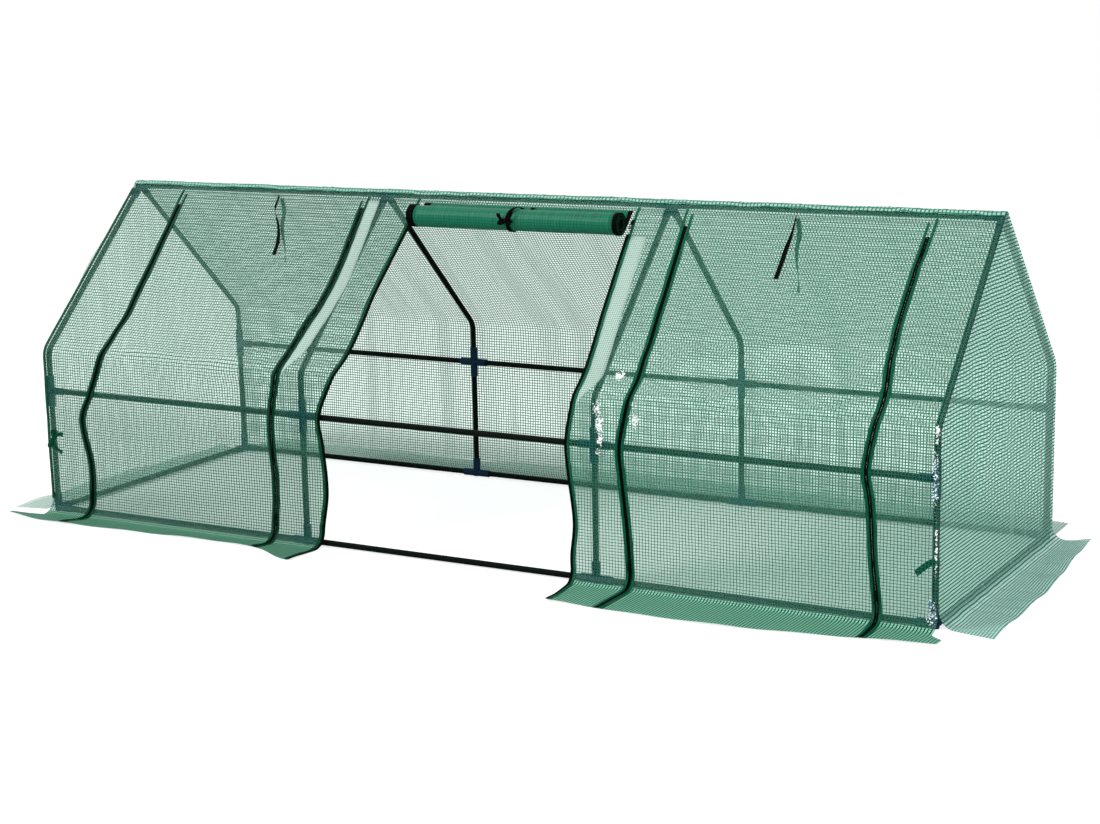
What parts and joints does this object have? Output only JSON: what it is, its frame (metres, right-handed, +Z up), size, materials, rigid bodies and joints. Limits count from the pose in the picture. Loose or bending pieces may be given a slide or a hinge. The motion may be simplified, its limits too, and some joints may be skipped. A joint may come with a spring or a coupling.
{
  "type": "mini greenhouse",
  "caption": "Low, long greenhouse with a pitched roof: tube frame on plastic connectors, reinforced film cover, zipped roll-up doors along the front and skirts on the floor.",
  "frame": {"origin": "centre of the overall box on the floor plane", "axes": "+X along the ridge to the right, -Y to the front with the doors, +Z up"},
  "size_m": [3, 1.31, 0.9332],
  "materials": {
    "tube": "satin dark green-black powder coat",
    "reinforced_film": "clear green film over a woven green grid",
    "ribbon": "black woven tape",
    "zip_slider": "black enamel"
  },
  "bodies": {
    "frame": {"base_end_bar_left": "tube", "base_end_bar_right": "tube", "base_rail_front_left": "tube", "base_rail_front_middle": "tube", "base_rail_front_right": "tube", "base_rail_rear_left": "tube", "base_rail_rear_middle": "tube", "base_rail_rear_right": "tube", "cover_end_left": "reinforced_film", "cover_end_right": "reinforced_film", "cover_front_strip_left_end": "reinforced_film", "cover_front_strip_left_inner": "reinforced_film", "cover_front_strip_right_end": "reinforced_film", "cover_front_strip_right_inner": "reinforced_film", "cover_rear_wall": "reinforced_film", "cover_ridge_and_rear_roof": "reinforced_film", "mid_rail_front_left": "tube", "mid_rail_front_middle": "tube", "mid_rail_front_right": "tube", "mid_rail_rear_left": "tube", "mid_rail_rear_middle": "tube", "mid_rail_rear_right": "tube", "post_front_left_end": "tube", "post_front_left_inner": "tube", "post_front_right_end": "tube", "post_front_right_inner": "tube", "post_rear_left_end": "tube", "post_rear_left_inner": "tube", "post_rear_right_end": "tube", "post_rear_right_inner": "tube", "rafter_front_left_end": "tube", "rafter_front_left_inner": "tube", "rafter_front_right_end": "tube", "rafter_front_right_inner": "tube", "rafter_rear_left_end": "tube", "rafter_rear_left_inner": "tube", "rafter_rear_right_end": "tube", "rafter_rear_right_inner": "tube", "ridge_connector_left_end": "tube", "ridge_connector_left_inner": "tube", "ridge_connector_right_end": "tube", "ridge_connector_right_inner": "tube", "ridge_rail_left": "tube", "ridge_rail_middle": "tube", "ridge_rail_right": "tube"},
    "left_door_upper": {"left_door_upper": "reinforced_film"},
    "left_door_lower": {"left_door_lower": "reinforced_film"},
    "right_door_upper": {"right_door_upper": "reinforced_film"},
    "right_door_lower": {"right_door_lower": "reinforced_film"},
    "middle_door": {"middle_door_roll": "reinforced_film", "middle_door_tie_ribbon": "ribbon"},
    "left_ribbon": {"left_door_tie_ribbon": "ribbon"},
    "right_ribbon": {"right_door_tie_ribbon": "ribbon"},
    "slider_left_door_left": {"zip_slider_left_door_left": "zip_slider"},
    "slider_left_door_right": {"zip_slider_left_door_right": "zip_slider"},
    "slider_middle_door_left": {"zip_slider_middle_door_left": "zip_slider"},
    "slider_middle_door_right": {"zip_slider_middle_door_right": "zip_slider"},
    "slider_right_door_left": {"zip_slider_right_door_left": "zip_slider"},
    "slider_right_door_right": {"zip_slider_right_door_right": "zip_slider"}
  },
  "joints": [
    {"name": "left_door_lift", "type": "hinge", "parent": "frame", "child": "left_door_upper", "pos_m": [-0.825, -0.03394, 0.90427], "axis": [-1, 0, 0], "range_deg": [0, 110]},
    {"name": "left_door_fold", "type": "hinge", "parent": "left_door_upper", "child": "left_door_lower", "pos_m": [-0.825, -0.45802, 0.48145], "axis": [-1, 0, 0], "range_deg": [0, 100]},
    {"name": "right_door_lift", "type": "hinge", "parent": "frame", "child": "right_door_upper", "pos_m": [0.8535, -0.03394, 0.90427], "axis": [-1, 0, 0], "range_deg": [0, 110]},
    {"name": "right_door_fold", "type": "hinge", "parent": "right_door_upper", "child": "right_door_lower", "pos_m": [0.8535, -0.45802, 0.48145], "axis": [-1, 0, 0], "range_deg": [0, 100]},
    {"name": "middle_roll_lift", "type": "hinge", "parent": "frame", "child": "middle_door", "pos_m": [0.0275, -0.03394, 0.90427], "axis": [-1, 0, 0], "range_deg": [0, 120]},
    {"name": "left_ribbon_swing", "type": "hinge", "parent": "left_door_upper", "child": "left_ribbon", "pos_m": [-0.797, -0.03762, 0.90373], "axis": [-1, 0, 0], "range_deg": [0, 60]},
    {"name": "right_ribbon_swing", "type": "hinge", "parent": "right_door_upper", "child": "right_ribbon", "pos_m": [0.824, -0.03762, 0.90373], "axis": [-1, 0, 0], "range_deg": [0, 60]},
    {"name": "zip_left_door_left", "type": "slide", "parent": "frame", "child": "slider_left_door_left", "axis": [0.0935, 0, 0.9956], "range_m": [0, 0.356]},
    {"name": "zip_left_door_right", "type": "slide", "parent": "frame", "child": "slider_left_door_right", "axis": [0.0342, 0, 0.9994], "range_m": [0, 0.355]},
    {"name": "zip_middle_door_left", "type": "slide", "parent": "frame", "child": "slider_middle_door_left", "axis": [-0.0192, -0.7133, -0.7006], "range_m": [0, 0.445]},
    {"name": "zip_middle_door_right", "type": "slide", "parent": "frame", "child": "slider_middle_door_right", "axis": [0.0796, -0.7112, -0.6985], "range_m": [0, 0.446]},
    {"name": "zip_right_door_left", "type": "slide", "parent": "frame", "child": "slider_right_door_left", "axis": [-0.0439, 0, 0.999], "range_m": [0, 0.355]},
    {"name": "zip_right_door_right", "type": "slide", "parent": "frame", "child": "slider_right_door_right", "axis": [-0.0581, 0, 0.9983], "range_m": [0, 0.355]}
  ]
}
